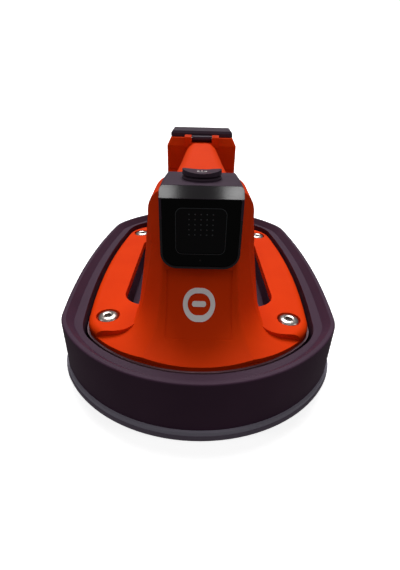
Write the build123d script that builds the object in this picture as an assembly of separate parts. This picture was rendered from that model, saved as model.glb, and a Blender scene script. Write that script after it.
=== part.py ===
from build123d import *
import math
import os

# Hand-held cordless vacuum lifter for tiles, glass and smooth stone.
# Frame: millimetres, +X to the user's right, -Y towards the display end, +Z up.
# The origin is on the lifting face (underside of the foam), under the middle of the base.

# ---------------------------------------------------------------- driving sizes
# Base outline: two end arcs, two slightly bowed sides and four corner arcs.
BASE_HALF_W, BASE_HALF_L = 90.0, 138.5
BASE_END_R, BASE_CORNER_R, BASE_SIDE_R = 93.0, 38.0, 597.0
WELL_HALF_W, WELL_HALF_L = 77.5, 126.5
WELL_END_R, WELL_CORNER_R, WELL_SIDE_R = 86.5, 33.0, 560.0
FLANGE_HALF_W, FLANGE_HALF_L = 75.5, 115.8
FLANGE_END_R, FLANGE_CORNER_R, FLANGE_SIDE_R = 88.0, 25.0, 560.0

FOAM_H, CARRIER_H = 3.4, 2.6          # the two layers of the seal
FOAM_PROUD, CARRIER_PROUD = 1.8, 1.5  # how far each stands outside the tray wall
SEAL_W = 12.0                         # from the tray wall inwards
SEAL_H = FOAM_H + CARRIER_H
BASE_PLATE_T = 3.0
RIM_Z, SHELF_Z = 38.0, 33.6           # crest of the tray wall and the shelf inside it
TRAY_WALL = 3.0
SLOPE_RUN = 4.6                       # width of the slope from crest to shelf
CREST_W = 2.4                         # flat part of the crest before it is rounded
FLOOR_T = 3.0
LEDGE_W = 3.2                         # upstand in the tray that carries the flange
GASKET_T, GASKET_PROUD, GASKET_W = 1.4, 1.2, 7.0

HOUSING_WALL = 2.8
FLANGE_Z = 25.6                       # underside of the orange flange
LIP_Z = 28.0                          # top of its straight edge
PAD_Z = 33.0                          # flat top around the screws
PAD_EDGE_R = 4.4                      # rounding of the outer edge of the flat top
FRONT_SEAM_Z, REAR_SEAM_Z = 78.5, 99.0

POCKET_HALF_W, POCKET_FRONT_Y, POCKET_REAR_Y, POCKET_R = 52.0, -60.5, 60.5, 16.0
POCKET_WALL = 2.4
FRONT_TOWER_BACK_Y, REAR_TOWER_FRONT_Y = -29.0, 62.0
FRONT_TOWER_HALF_W, REAR_TOWER_HALF_W = 40.6, 34.0

SEAM_GROOVE = 0.7                     # square groove that shows where two shells meet
PANEL_HALF_W, PANEL_LOW_Z, PANEL_HIGH_Z, PANEL_DEPTH = 19.6, 34.0, 67.5, 0.5
LOBE_INNER_X, LOBE_FRONT_Y, LOBE_R = 38.6, 90.2, 13.5
SCREW_X, SCREW_Y = 58.0, 74.0
SCREW_R, SCREW_HEAD_R, SCREW_HEAD_H, SCREW_LEN = 3.0, 6.6, 3.2, 17.0
COUNTERBORE_R, COUNTERBORE_DEPTH = 7.5, 2.6
INSERT_R, INSERT_H = 4.6, 10.0
BOSS_R = 8.0

HEAD_TOP_Z, HEAD_LOW_Z, HEAD_SPLIT_Z = 117.0, 70.6, 99.8
HEAD_HALF_W, HEAD_FACE_Y, HEAD_BACK_Y, HEAD_PLATE_BACK_Y = 22.5, -80.0, -67.2, -42.0
HEAD_CORNER_R, BEZEL_RIM, PLATE_BACK_HALF_W = 9.5, 1.3, 20.2
CAP_PLATE_T, CAP_CHAMFER_Y, CAP_CHAMFER_Z, CAP_EDGE_R = 3.4, 4.6, 6.0, 2.6
LENS_T, LENS_SET_BACK, LENS_TOP_Z = 2.0, 0.6, 111.0
WINDOW_W, WINDOW_H, WINDOW_R, WINDOW_Z = 27.6, 26.4, 3.8, 92.7
LED_R, LED_PITCH_X, LED_PITCH_Z, LED_COUNT, LED_MID_Z = 0.8, 3.25, 2.9, 5, 96.6

SHOULDER_Z, SHOULDER_TOP_Z, SHOULDER_R = 96.0, 115.6, 18.5
SHOULDER_HALF_W, SHOULDER_BACK_R = 31.3, 17.0

HANDLE_HALF_W, HANDLE_R, HANDLE_WALL = 15.2, 9.0, 2.6
BOX_HALF_W, BOX_BACK_Y, BOX_TOP_Z, BOX_BEVEL_RUN, BOX_BEVEL_H = 29.7, 109.0, 124.2, 3.0, 6.0
BOX_CORNER_R = 5.0

LID_HALF_W, LID_FRONT_Y, LID_BACK_Y, LID_TOP_Z = 26.9, 69.9, 106.0, 129.2
LID_GAP, LID_CHAMFER, LID_CORNER_R = 0.3, 1.9, 3.6
BAY_HALF_W, BAY_FRONT_Y, BAY_BACK_Y = 22.0, 72.5, 103.5
HINGE_Y, HINGE_Z, PIN_R, PIN_CLEAR = 66.5, 123.6, 1.0, 0.05
LUG_IN_X, LUG_OUT_X, LUG_R = 8.9, 14.6, 2.8
LUG_NOSE_Y, LUG_NOSE_H, LUG_FOOT_Z = 60.6, 2.0, 116.8
KNUCKLE_R, KNUCKLE_GAP = 2.1, 0.3

BUTTON_Y, BUTTON_R, BUTTON_RIM_R, BUTTON_TRAVEL = -57.0, 9.3, 11.1, 0.7
COLLAR_R, COLLAR_H, COLLAR_BORE_R = 11.4, 1.4, 9.6
BUTTON_HORN_Z, BUTTON_DIP, BUTTON_TILT, BUTTON_RIM_GAP = 122.1, 1.6, 4.6, 1.0

MOTOR_X, MOTOR_Y, MOTOR_R, MOTOR_Z, MOTOR_H = 0.0, -52.0, 14.0, 42.0, 34.0
SHAFT_R, RUN_CLEAR = 1.5, 0.04
FIT = 0.2                             # gap round parts that are set into another
TOUCH = 0.02                          # gap between parts that are screwed up tight

FLOOR_Z = SEAL_H + BASE_PLATE_T       # underside of the tray floor
WELL_Z = FLOOR_Z + FLOOR_T            # top of the tray floor

# Outer form of the front tower, from the flange lip up to the seam. Each row is
# height, face Y, face half width, corner X, corner Y, side X.
FRONT_ROWS = [
    (LIP_Z, 117.0, 34.0, 62.0, 92.0, 41.0),
    (30.0, 109.5, 31.0, 50.0, 88.0, 40.8),
    (32.5, 102.0, 28.5, 41.5, 82.0, 40.4),
    (37.0, 94.0, 26.0, 37.5, 75.5, 39.7),
    (44.0, 87.0, 24.0, 35.4, 70.5, 38.6),
    (53.0, 81.5, 23.0, 33.5, 67.5, 37.2),
    (62.0, 77.5, 22.6, 31.8, 65.5, 35.9),
    (70.0, 74.0, 22.5, 30.5, 64.0, 34.7),
    (FRONT_SEAM_Z, 70.5, 22.4, 29.6, 62.5, 33.7),
]
FRONT_SIDE_Y = 56.0
# The same for the rear tower, whose face is its back.
REAR_ROWS = [
    (LIP_Z, 116.0, 26.0, 36.0, 107.0, 37.5),
    (31.0, 113.0, 24.5, 32.5, 106.0, 35.0),
    (37.0, 110.6, 23.3, 29.8, 105.0, 32.4),
    (48.0, 109.3, 22.3, 27.6, 103.8, 30.2),
    (62.0, BOX_BACK_Y, 22.0, 26.8, 103.2, BOX_HALF_W),
]
REAR_SIDE_Y = 97.0
TOWER_EDGE_R = 2.2

nodes = {}


# ---------------------------------------------------------------- shape helpers
def racetrack(half_w, half_l, end_r, corner_r, side_r, grow=0.0):
    """Closed face bounded by tangent arcs, grown or shrunk in parallel by `grow`."""
    end_c = Vector(0, half_l - end_r)
    side_c = Vector(half_w - side_r, 0)
    to_end, to_side = end_r - corner_r, side_r - corner_r
    span = end_c - side_c
    along = (to_side**2 - to_end**2 + span.length**2) / (2 * span.length)
    across = math.sqrt(to_side**2 - along**2)
    unit = span / span.length
    corner_c = side_c + unit * along + Vector(-unit.Y, unit.X) * across
    meet_end = end_c + (corner_c - end_c).normalized() * (end_r + grow)
    meet_side = side_c + (corner_c - side_c).normalized() * (side_r + grow)
    mid_dir = ((meet_end - corner_c).normalized() + (meet_side - corner_c).normalized()).normalized()
    mid = corner_c + mid_dir * (corner_r + grow)
    tip, flank = (0, half_l + grow), (half_w + grow, 0)

    def flip(p, sx, sy):
        return (sx * p.X, sy * p.Y)

    edges = []
    for sy in (1, -1):
        edges.append(ThreePointArc(flip(meet_end, -1, sy), (0, sy * tip[1]), flip(meet_end, 1, sy)))
    for sx in (1, -1):
        edges.append(ThreePointArc(flip(meet_side, sx, 1), (sx * flank[0], 0), flip(meet_side, sx, -1)))
        for sy in (1, -1):
            edges.append(ThreePointArc(flip(meet_end, sx, sy), flip(mid, sx, sy), flip(meet_side, sx, sy)))
    return make_face(Wire(edges))


def base_outline(grow=0.0):
    return racetrack(BASE_HALF_W, BASE_HALF_L, BASE_END_R, BASE_CORNER_R, BASE_SIDE_R, grow)


def well_outline(grow=0.0):
    return racetrack(WELL_HALF_W, WELL_HALF_L, WELL_END_R, WELL_CORNER_R, WELL_SIDE_R, grow)


def flange_outline(grow=0.0):
    return racetrack(FLANGE_HALF_W, FLANGE_HALF_L, FLANGE_END_R, FLANGE_CORNER_R, FLANGE_SIDE_R, grow)


def prism(face, low, high):
    """Upright prism of a face drawn on the XY plane."""
    return extrude(Pos(0, 0, low) * face, high - low, dir=(0, 0, 1))


def block(x, y, z):
    """Box from its three (low, high) spans."""
    size = [hi - lo for lo, hi in (x, y, z)]
    centre = [(hi + lo) / 2 for lo, hi in (x, y, z)]
    return Pos(*centre) * Box(*size)


def post(x, y, low, high, radius):
    return Pos(x, y, (low + high) / 2) * Cylinder(radius, high - low)


def tube(x, y, low, high, outer, inner):
    return post(x, y, low, high, outer) - post(x, y, low - 1, high + 1, inner)


def rounded_block(x, y, z, radius):
    """Box with its four upright edges rounded."""
    solid = block(x, y, z)
    return fillet(solid.edges().filter_by(Axis.Z), radius)


def bar_x(y, z, low, high, radius):
    """Round bar along X."""
    return Pos((low + high) / 2, y, z) * Rot(0, 90, 0) * Cylinder(radius, abs(high - low))


def screw_places():
    return [(sx * SCREW_X, sy * SCREW_Y) for sx in (-1, 1) for sy in (-1, 1)]


def tower_section(row, end, side_y, inner_y, inset=0.0):
    """Horizontal section of a tower: a face, two slanted cheeks and straight sides."""
    z, face_y, face_w, corner_x, corner_y, side_x = row
    face_w, corner_x, side_x = face_w - 0.6 * inset, corner_x - inset, side_x - inset
    points = [
        (-face_w, end * (face_y - inset)),
        (face_w, end * (face_y - inset)),
        (corner_x, end * (corner_y - 0.8 * inset)),
        (side_x, end * (side_y - 0.3 * inset)),
        (side_x, inner_y + end * inset),
        (-side_x, inner_y + end * inset),
        (-side_x, end * (side_y - 0.3 * inset)),
        (-corner_x, end * (corner_y - 0.8 * inset)),
    ]
    face = make_face(Polyline(*points, close=True))
    return Pos(0, 0, z) * fillet(face.vertices(), TOWER_EDGE_R)


def tower(rows, end, side_y, inner_y, inset=0.0):
    """Solid tower lofted through its sections."""
    return loft([tower_section(row, end, side_y, inner_y, inset) for row in rows])


# ---------------------------------------------------------------- base
def make_seal():
    foam = prism(base_outline(FOAM_PROUD), 0, FOAM_H) - prism(base_outline(-SEAL_W), -1, FOAM_H + 1)
    nodes["foam_seal"] = foam
    carrier = prism(base_outline(CARRIER_PROUD), FOAM_H, SEAL_H)
    nodes["seal_carrier"] = carrier - prism(base_outline(-SEAL_W), 0, SEAL_H + 1)


PORT_X, PORT_Y, PORT_R = 27.0, -47.0, 4.0
VENT_X, VENT_Y, VENT_R = -27.0, -47.0, 3.0
PLATE_SCREWS = [(sx * 70.0, y) for sx in (-1, 1) for y in (-48.0, 0.0, 48.0)] + [(0.0, -112.0), (0.0, 112.0)]
PLATE_SCREW_R, PLATE_SCREW_HEAD_R, PLATE_SCREW_LEN = 1.5, 2.9, 5.4


def make_base_plate():
    plate = prism(base_outline(-TRAY_WALL - FIT), SEAL_H, FLOOR_Z)
    plate -= post(PORT_X, PORT_Y, SEAL_H - 1, FLOOR_Z + 1, PORT_R + FIT)
    plate -= post(VENT_X, VENT_Y, SEAL_H - 1, FLOOR_Z + 1, VENT_R)
    for x, y in PLATE_SCREWS:
        plate -= post(x, y, SEAL_H - 1, FLOOR_Z + 1, PLATE_SCREW_R + 0.1)
        plate -= post(x, y, SEAL_H - 1, SEAL_H + 1.4, PLATE_SCREW_HEAD_R + 0.1)
    nodes["base_plate"] = plate

    screws = []
    for x, y in PLATE_SCREWS:
        head = post(x, y, SEAL_H + 0.1, SEAL_H + 1.3, PLATE_SCREW_HEAD_R)
        socket = post(x, y, SEAL_H, SEAL_H + 0.7, 1.2)
        screws.append(head + post(x, y, SEAL_H + 1, SEAL_H + PLATE_SCREW_LEN, PLATE_SCREW_R) - socket)
    nodes["base_plate_screws"] = screws


def make_tray():
    tray = prism(base_outline(), SEAL_H, RIM_Z)
    crest = tray.edges().group_by(Axis.Z)[-1]
    tray = fillet(crest, 1.0)
    slope = loft([
        Pos(0, 0, SHELF_Z) * base_outline(-CREST_W - SLOPE_RUN),
        Pos(0, 0, RIM_Z + 0.4) * base_outline(-CREST_W),
    ])
    tray -= slope
    tray -= prism(well_outline(), WELL_Z, RIM_Z + 1)
    tray -= prism(base_outline(-TRAY_WALL), SEAL_H - 1, FLOOR_Z)
    rim_hollow = prism(base_outline(-TRAY_WALL), FLOOR_Z - 1, SHELF_Z - TRAY_WALL)
    rim_hollow -= prism(well_outline(TRAY_WALL), 0, RIM_Z)
    tray -= rim_hollow
    ledge = prism(flange_outline(GASKET_PROUD), WELL_Z - 1, FLANGE_Z - GASKET_T)
    ledge -= prism(flange_outline(GASKET_PROUD - LEDGE_W), 0, RIM_Z)
    tray += ledge
    tray += prism(pocket_outline(POCKET_WALL) - pocket_outline() - tower_feet(FIT), WELL_Z - 1, FLANGE_Z - FIT)
    for x, y in screw_places():
        tray += post(x, y, WELL_Z - 1, FLANGE_Z, BOSS_R)
    for x, y in screw_places():
        tray -= post(x, y, FLANGE_Z - INSERT_H, FLANGE_Z + 1, INSERT_R)
        tray -= post(x, y, FLANGE_Z - SCREW_LEN + 2, FLANGE_Z + 1, SCREW_R + 0.3)
    tray -= post(PORT_X, PORT_Y, 0, WELL_Z + 1, PORT_R + FIT)
    tray -= post(VENT_X, VENT_Y, 0, WELL_Z + 1, VENT_R)
    for x, y in PLATE_SCREWS:
        tray -= post(x, y, 0, SEAL_H + PLATE_SCREW_LEN + 0.3, PLATE_SCREW_R + 0.02)
    nodes["base_tray"] = tray
    nodes["threaded_inserts"] = [
        tube(x, y, FLANGE_Z - INSERT_H + TOUCH, FLANGE_Z - TOUCH, INSERT_R - TOUCH, SCREW_R + RUN_CLEAR)
        for x, y in screw_places()
    ]


def make_gasket():
    ring = prism(flange_outline(GASKET_PROUD), FLANGE_Z - GASKET_T, FLANGE_Z)
    ring -= prism(flange_outline(GASKET_PROUD - GASKET_W), 0, RIM_Z)
    for x, y in screw_places():
        ring -= post(x, y, 0, RIM_Z, BOSS_R + FIT)
    nodes["flange_gasket"] = ring


def make_inlet():
    grille_r = 13.0
    grille = post(PORT_X, PORT_Y, SEAL_H - 2.6, SEAL_H, grille_r)
    grille -= post(PORT_X, PORT_Y, SEAL_H - 1.6, SEAL_H + 1, grille_r - 1.4)
    for i in range(-4, 5):
        length = 2 * math.sqrt((grille_r - 2.4) ** 2 - (2.3 * i) ** 2)
        grille -= Pos(PORT_X, PORT_Y + 2.3 * i, SEAL_H - 2.6) * Box(length, 1.2, 2.4)
    nodes["inlet_grille"] = grille
    nodes["inlet_filter"] = post(PORT_X, PORT_Y, SEAL_H - 1.4, SEAL_H - 0.1, grille_r - 1.6)
    fitting = post(PORT_X, PORT_Y, SEAL_H + 0.2, WELL_Z, PORT_R)
    fitting += post(PORT_X, PORT_Y, WELL_Z, WELL_Z + 2, PORT_R + 2)
    fitting += post(PORT_X, PORT_Y, WELL_Z, WELL_Z + 11, 2.4)
    fitting -= post(PORT_X, PORT_Y, 0, WELL_Z + 20, 1.5)
    nodes["inlet_fitting"] = fitting


# ---------------------------------------------------------------- orange housings
def lobes():
    """The flat screw pads left and right of each tower, seen from above."""
    shape = None
    for sx in (-1, 1):
        for sy in (-1, 1):
            arc_x, arc_y = LOBE_INNER_X + LOBE_R, LOBE_FRONT_Y - LOBE_R
            parts = (
                Pos(sx * (LOBE_INNER_X + 30), sy * arc_y / 2) * Rectangle(60, arc_y),
                Pos(sx * (arc_x + 20), sy * LOBE_FRONT_Y / 2) * Rectangle(40, LOBE_FRONT_Y),
                Pos(sx * arc_x, sy * arc_y) * Circle(LOBE_R),
            )
            for part in parts:
                shape = part if shape is None else shape + part
    return shape


def pocket_outline(grow=0.0):
    """The finger pocket under the handle, seen from above."""
    width = 2 * (POCKET_HALF_W + grow)
    length = POCKET_REAR_Y - POCKET_FRONT_Y + 2 * grow
    return Pos(0, (POCKET_REAR_Y + POCKET_FRONT_Y) / 2) * RectangleRounded(width, length, POCKET_R + grow)


def tower_feet(grow=0.0):
    """The two tower footprints that stand in the finger pocket."""
    front_len, rear_len = 60.0, 50.0
    front = Pos(0, FRONT_TOWER_BACK_Y - front_len / 2 + grow)
    rear = Pos(0, REAR_TOWER_FRONT_Y - 4 + rear_len / 2 - grow)
    return (front * RectangleRounded(2 * (FRONT_TOWER_HALF_W + grow), front_len, 3)
            + rear * RectangleRounded(2 * (REAR_TOWER_HALF_W + grow), rear_len, 3))


def head_opening(grow=FIT):
    """The space in both housings that the plum head sits in, seen from the front."""
    half_w, low = HEAD_HALF_W + grow, HEAD_LOW_Z - grow
    height = HEAD_TOP_Z + 20 - low
    shape = block((-half_w, half_w), (HEAD_FACE_Y - 20, HEAD_BACK_Y + grow), (low, low + height))
    edges = shape.edges().filter_by(Axis.Y).group_by(Axis.Z)[0]
    return fillet(edges, HEAD_CORNER_R + grow)


SHELL_SCREW_R, SHELL_SCREW_HEAD_R, SHELL_BOSS_R = 1.5, 2.8, 3.4
FRONT_BOSSES = [(-28.0, -34.6), (28.0, -34.6)]
REAR_BOSSES = [(-24.5, 97.0), (24.5, 97.0)]


def boss_column(places, low, high, hole_low, hole_high, hole_r):
    """Screw bosses and the holes bored in them."""
    bosses = [post(x, y, low, high, SHELL_BOSS_R) for x, y in places]
    holes = [post(x, y, hole_low, hole_high, hole_r) for x, y in places]
    return bosses, holes


def box_section(z, inset=0.0):
    return tower_section((z,) + REAR_ROWS[-1][1:], 1, REAR_SIDE_Y, REAR_TOWER_FRONT_Y, inset)


def rear_box(low, high, inset=0.0):
    """The upright part of the rear tower."""
    return prism(box_section(0.0, inset), low, high)


def front_section(inset=0.0):
    """Outline of the front tower at its seam."""
    return tower_section((0.0,) + FRONT_ROWS[-1][1:], -1, FRONT_SIDE_Y, FRONT_TOWER_BACK_Y, inset)


def inner_rows(rows, top):
    """Rows for the hollow of a tower: low ones drop a little so that the flared foot keeps its wall."""
    lowered = [(row[0] - (1.6 if row[0] < 45 else 0.0),) + row[1:] for row in rows]
    lowered[-1] = (top,) + rows[-1][1:]
    return lowered


def make_lower_housing():
    plinth = prism(flange_outline(), FLANGE_Z, LIP_Z)
    pad = prism(flange_outline(), LIP_Z - 0.01, PAD_Z)
    pad = fillet(pad.edges().group_by(Axis.Z)[-1], PAD_EDGE_R)
    pad = pad & prism(lobes(), LIP_Z - 1, PAD_Z + 1)
    front = tower(FRONT_ROWS, -1, FRONT_SIDE_Y, FRONT_TOWER_BACK_Y)
    rear = tower(REAR_ROWS, 1, REAR_SIDE_Y, REAR_TOWER_FRONT_Y) + rear_box(REAR_ROWS[-1][0], REAR_SEAM_Z)
    outline_cut = prism(flange_outline(), 0, 150)
    shell = plinth + pad + (front & outline_cut) + (rear & outline_cut)

    shell -= prism(flange_outline(-HOUSING_WALL), FLANGE_Z - 1, LIP_Z - 0.6)
    shell -= tower(inner_rows(FRONT_ROWS, FRONT_SEAM_Z + 0.01), -1, FRONT_SIDE_Y, FRONT_TOWER_BACK_Y, HOUSING_WALL)
    shell -= tower(inner_rows(REAR_ROWS, 62.0), 1, REAR_SIDE_Y, REAR_TOWER_FRONT_Y, HOUSING_WALL)
    shell -= rear_box(62.0, REAR_SEAM_Z + 1, HOUSING_WALL)

    feet_walls = (tower_feet() - tower_feet(-HOUSING_WALL)) & pocket_outline(POCKET_WALL)
    shell += prism(feet_walls, WELL_Z + FIT, LIP_Z + 2)
    gap = pocket_outline() - tower_feet()
    shell -= prism(gap, 0, PAD_Z + 0.5)

    for places, seam in ((FRONT_BOSSES, FRONT_SEAM_Z), (REAR_BOSSES, REAR_SEAM_Z)):
        bosses, holes = boss_column(places, seam - 10, seam, seam - 11, seam + 1, SHELL_SCREW_R + 0.2)
        for boss in bosses:
            shell += boss
        for hole in holes:
            shell -= hole
        for x, y in places:
            shell -= post(x, y, seam - 14, seam - 10, SHELL_SCREW_HEAD_R + 0.2)
    for x, y in screw_places():
        shell += post(x, y, FLANGE_Z, LIP_Z + 2, COUNTERBORE_R + 2)
        shell -= post(x, y, 0, PAD_Z + 1, SCREW_R + 0.3)
        shell -= post(x, y, PAD_Z - COUNTERBORE_DEPTH, PAD_Z + 5, COUNTERBORE_R)
    shell -= head_opening()
    shell -= prism(front_section() - front_section(SEAM_GROOVE), FRONT_SEAM_Z - SEAM_GROOVE, FRONT_SEAM_Z + 1)
    shell -= prism(box_section(0.0) - box_section(0.0, SEAM_GROOVE), REAR_SEAM_Z - SEAM_GROOVE, REAR_SEAM_Z + 1)
    sunk = front - tower(FRONT_ROWS, -1, FRONT_SIDE_Y, FRONT_TOWER_BACK_Y, PANEL_DEPTH)
    shell -= sunk & block((-PANEL_HALF_W, PANEL_HALF_W), (-110, -60), (PANEL_LOW_Z, PANEL_HIGH_Z))
    nodes["lower_housing"] = shell


def make_flange_screws():
    screws = []
    seat = PAD_Z - COUNTERBORE_DEPTH
    for x, y in screw_places():
        head = post(x, y, seat, seat + SCREW_HEAD_H, SCREW_HEAD_R)
        head = fillet(head.edges().group_by(Axis.Z)[-1], 1.7)
        shank = post(x, y, seat - SCREW_LEN, seat + 1, SCREW_R)
        socket = Pos(x, y, seat + SCREW_HEAD_H - 1.9) * extrude(RegularPolygon(2.3, 6), 3)
        screws.append(head + shank - socket)
    nodes["flange_screws"] = screws


def handle_section(y, half_w, low, high, radius, inset=0.0):
    plane = Plane(origin=(0, y, (low + high) / 2), x_dir=(1, 0, 0), z_dir=(0, 1, 0))
    face = RectangleRounded(2 * (half_w - inset), high - low - 2 * inset, radius - 0.7 * inset)
    return plane * face


HANDLE_ROWS = [
    (-31.0, 19.0, 86.5, 115.4, HANDLE_R),
    (-22.0, 18.2, 90.0, 116.2, HANDLE_R),
    (-8.0, 17.0, 92.0, 117.2, HANDLE_R),
    (24.0, HANDLE_HALF_W, 92.0, 118.6, HANDLE_R),
    (52.0, 13.8, 91.0, 119.8, HANDLE_R),
    (64.4, 13.4, 87.0, 120.4, HANDLE_R),
]


def shoulder_profile(inset=0.0):
    """Front view of the upper housing round the head: tapered sides, rounded shoulders."""
    low, top = FRONT_SEAM_Z - 1, SHOULDER_TOP_Z - inset
    foot, side = FRONT_ROWS[-1][5] + 0.2 - inset, SHOULDER_HALF_W - inset
    radius = SHOULDER_R - inset
    outline = FilletPolyline(
        (-foot, low), (-side, SHOULDER_Z), (-side, top), (side, top), (side, SHOULDER_Z), (foot, low),
        close=True, radius=[0.01, 30, radius, radius, 30, 0.01],
    )
    return Plane.XZ * make_face(outline)


def make_upper_housing():
    top_row = FRONT_ROWS[-1]

    def front_block(inset):
        section = tower_section((0.0,) + top_row[1:], -1, FRONT_SIDE_Y, FRONT_TOWER_BACK_Y, inset)
        upright = prism(section, FRONT_SEAM_Z - (0.01 if inset else 0), SHOULDER_TOP_Z + 5)
        upright &= extrude(shoulder_profile(inset), 60, both=True, dir=(0, 1, 0)).moved(Pos(0, -50, 0))
        limit = block((-60, 60), (-90, FRONT_TOWER_BACK_Y - inset), (60, SHOULDER_TOP_Z - inset))
        back_edge = limit.edges().filter_by(Axis.X).group_by(Axis.Z)[-1].sort_by(Axis.Y)[-1]
        return upright & fillet(back_edge, SHOULDER_BACK_R - inset)

    shell = front_block(0.0)
    grip = loft([handle_section(*row) for row in HANDLE_ROWS])
    box = rear_box(REAR_SEAM_Z, BOX_TOP_Z - BOX_BEVEL_H)
    box += loft([box_section(BOX_TOP_Z - BOX_BEVEL_H), box_section(BOX_TOP_Z, BOX_BEVEL_RUN)], ruled=True)
    grip -= block((-30, 30), (REAR_TOWER_FRONT_Y - TOUCH, 80), (60, REAR_SEAM_Z))
    shell = shell + grip + box

    wall = HOUSING_WALL
    duct_rows = [(-34.0,) + HANDLE_ROWS[0][1:], *HANDLE_ROWS, (67.0,) + HANDLE_ROWS[-1][1:]]
    duct = loft([handle_section(*row, inset=HANDLE_WALL) for row in duct_rows])
    bay_room = rear_box(REAR_SEAM_Z - 1, BOX_TOP_Z - wall, wall)
    shell -= front_block(wall)
    shell -= duct
    shell -= bay_room
    shell -= rounded_block((-BAY_HALF_W, BAY_HALF_W), (BAY_FRONT_Y, BAY_BACK_Y), (110, 140), 3)

    shell += block((-LUG_IN_X - 2, LUG_IN_X + 2), (REAR_TOWER_FRONT_Y + 1, BAY_FRONT_Y), (117.2, BOX_TOP_Z - 1))
    finger_recess = block((-LUG_IN_X + 0.3, LUG_IN_X - 0.3), (REAR_TOWER_FRONT_Y - 2, BAY_FRONT_Y - 1.2),
                          (HINGE_Z - KNUCKLE_R - 1.0, BOX_TOP_Z + 5))
    shell -= finger_recess
    for side in (-1, 1):
        lug = bar_x(HINGE_Y, HINGE_Z, side * LUG_IN_X, side * LUG_OUT_X, LUG_R)
        ends = sorted((side * LUG_IN_X, side * LUG_OUT_X))
        lug += block(ends, (HINGE_Y - 1, HINGE_Y + LUG_R), (LUG_FOOT_Z, HINGE_Z))
        nose = block(ends, (LUG_NOSE_Y, HINGE_Y), (LUG_FOOT_Z, HINGE_Z + LUG_NOSE_H))
        front_edge = nose.edges().filter_by(Axis.X).group_by(Axis.Z)[-1].sort_by(Axis.Y)[0]
        shell += lug + fillet(front_edge, 1.8)
    shell -= bar_x(HINGE_Y, HINGE_Z, -LUG_OUT_X - 1, LUG_OUT_X + 1, PIN_R + TOUCH)
    for places, seam in ((FRONT_BOSSES, FRONT_SEAM_Z), (REAR_BOSSES, REAR_SEAM_Z)):
        bosses, holes = boss_column(places, seam, seam + 9, seam - 1, seam + 8, SHELL_SCREW_R + TOUCH)
        for boss in bosses:
            shell += boss
        for hole in holes:
            shell -= hole

    shell -= head_opening()
    shell -= prism(plate_outline(FIT, 3.0), HEAD_TOP_Z - CAP_PLATE_T - TOUCH, HEAD_TOP_Z + 20)
    shell -= post(0, BUTTON_Y, 100, 130, BUTTON_R + 1.2)
    shell -= block((-GRIP_HALF_W - FIT, GRIP_HALF_W + FIT), (GRIP_FRONT_Y - FIT, GRIP_REAR_Y + FIT),
                   (80, GRIP_LOW_Z + GRIP_T))
    nodes["upper_housing"] = shell


GRIP_HALF_W, GRIP_FRONT_Y, GRIP_REAR_Y, GRIP_LOW_Z, GRIP_T = 8.0, -14.0, 46.0, 91.4, 1.8


def make_grip_strip():
    pad = rounded_block((-GRIP_HALF_W, GRIP_HALF_W), (GRIP_FRONT_Y, GRIP_REAR_Y),
                        (GRIP_LOW_Z, GRIP_LOW_Z + GRIP_T - TOUCH), 3)
    for i in range(9):
        y = GRIP_FRONT_Y + 6 + i * 6
        pad -= block((-6, 6), (y - 0.6, y + 0.6), (GRIP_LOW_Z - 1, GRIP_LOW_Z + 0.6))
    nodes["grip_strip"] = pad


def make_shell_screws():
    screws = []
    for places, seam in ((FRONT_BOSSES, FRONT_SEAM_Z), (REAR_BOSSES, REAR_SEAM_Z)):
        for x, y in places:
            head = post(x, y, seam - 12.2, seam - 10 - TOUCH, SHELL_SCREW_HEAD_R)
            screws.append(head + post(x, y, seam - 12, seam + 7, SHELL_SCREW_R) - post(x, y, seam - 13, seam - 11.2, 1.2))
    nodes["shell_screws"] = screws


# ---------------------------------------------------------------- plum head and display
def head_form(low, high, back_y):
    """The head's outer form between two heights, with its rounded lower corners."""
    half_w = HEAD_HALF_W
    form = block((-half_w, half_w), (HEAD_FACE_Y, back_y), (HEAD_LOW_Z, HEAD_TOP_Z))
    form = fillet(form.edges().filter_by(Axis.Y).group_by(Axis.Z)[0], HEAD_CORNER_R)
    form = fillet(form.edges().filter_by(Axis.Y).group_by(Axis.Z)[-1], CAP_EDGE_R)
    return form & block((-50, 50), (HEAD_FACE_Y - 5, back_y + 5), (low, high))


def plate_outline(grow=0.0, reach=0.0):
    """The part of the head's top plate that lies on the shoulders, seen from above."""
    front_w, back_w = HEAD_HALF_W + grow, PLATE_BACK_HALF_W + grow
    back_y, front_y = HEAD_PLATE_BACK_Y + grow, HEAD_BACK_Y - reach
    return make_face(Polyline((-front_w, front_y), (front_w, front_y), (back_w, back_y), (-back_w, back_y), close=True))


def lens_outline(gap):
    """Front view of the glossy lens, `gap` smaller all round than its recess."""
    half_w = HEAD_HALF_W - BEZEL_RIM - gap
    low, high = HEAD_LOW_Z + BEZEL_RIM + gap, LENS_TOP_Z - gap
    shape = block((-half_w, half_w), (-1, 1), (low, high))
    shape = fillet(shape.edges().filter_by(Axis.Y).group_by(Axis.Z)[0], HEAD_CORNER_R - BEZEL_RIM - gap)
    return shape


def lens_slab(gap, front, back):
    """The lens outline as a slab between two Y planes."""
    slab = lens_outline(gap)
    face = slab.faces().sort_by(Axis.Y)[0]
    return extrude(face.moved(Pos(0, front + 1, 0)), back - front, dir=(0, 1, 0))


def window_slab(grow, front, back):
    plane = Plane(origin=(0, front, WINDOW_Z), x_dir=(1, 0, 0), z_dir=(0, 1, 0))
    face = RectangleRounded(WINDOW_W + 2 * grow, WINDOW_H + 2 * grow, WINDOW_R + grow)
    return extrude(plane * face, back - front)


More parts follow.
